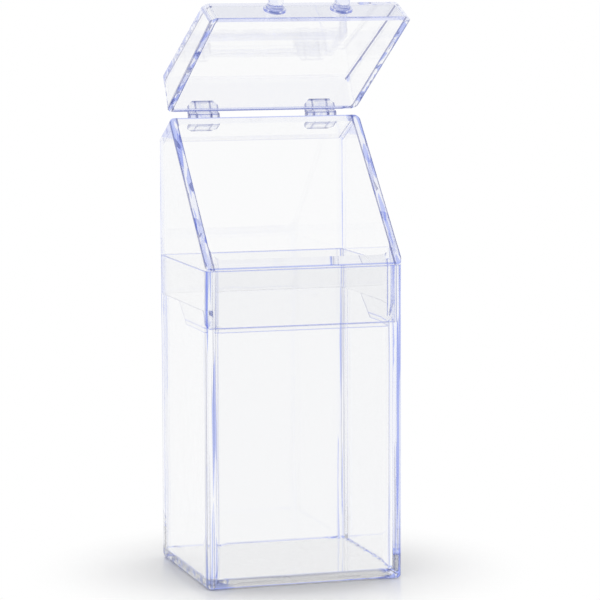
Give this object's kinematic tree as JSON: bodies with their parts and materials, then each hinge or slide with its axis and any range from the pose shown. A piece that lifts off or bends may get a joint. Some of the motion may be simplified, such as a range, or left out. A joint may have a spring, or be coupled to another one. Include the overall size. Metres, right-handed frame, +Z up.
{
  "type": "lidded brush storage box",
  "caption": "Tall clear moulded box with a slanted opening and a hinged tray lid, for standing brushes upright and free of dust.",
  "frame": {"origin": "centre of the base box's underside", "axes": "+Z up, +Y from the low front edge of the opening towards the hinges, +X to the right seen from the front"},
  "size_m": [0.1, 0.1037, 0.2904],
  "materials": {
    "clear_base": "clear moulded plastic, polished",
    "clear_hood": "clear moulded plastic, polished",
    "clear_lid": "clear moulded plastic, polished",
    "clear_hinge": "clear moulded plastic, polished",
    "clear_pin": "clear moulded plastic",
    "clear_knob": "clear moulded plastic, polished"
  },
  "bodies": {
    "body": {"base_box": "clear_base", "upper_hood": "clear_hood", "hinge_body_leaf_left": "clear_hinge", "hinge_body_leaf_right": "clear_hinge", "hinge_pin_left": "clear_pin", "hinge_pin_right": "clear_pin"},
    "lid": {"lid_shell": "clear_lid", "hinge_lid_leaf_left": "clear_hinge", "hinge_lid_leaf_right": "clear_hinge", "knob_left": "clear_knob", "knob_right": "clear_knob"}
  },
  "joints": [
    {"name": "lid_hinge", "type": "hinge", "parent": "body", "child": "lid", "pos_m": [0, 0.02783, 0.22708], "axis": [-1, 0, 0], "range_deg": [-74, 40]}
  ]
}
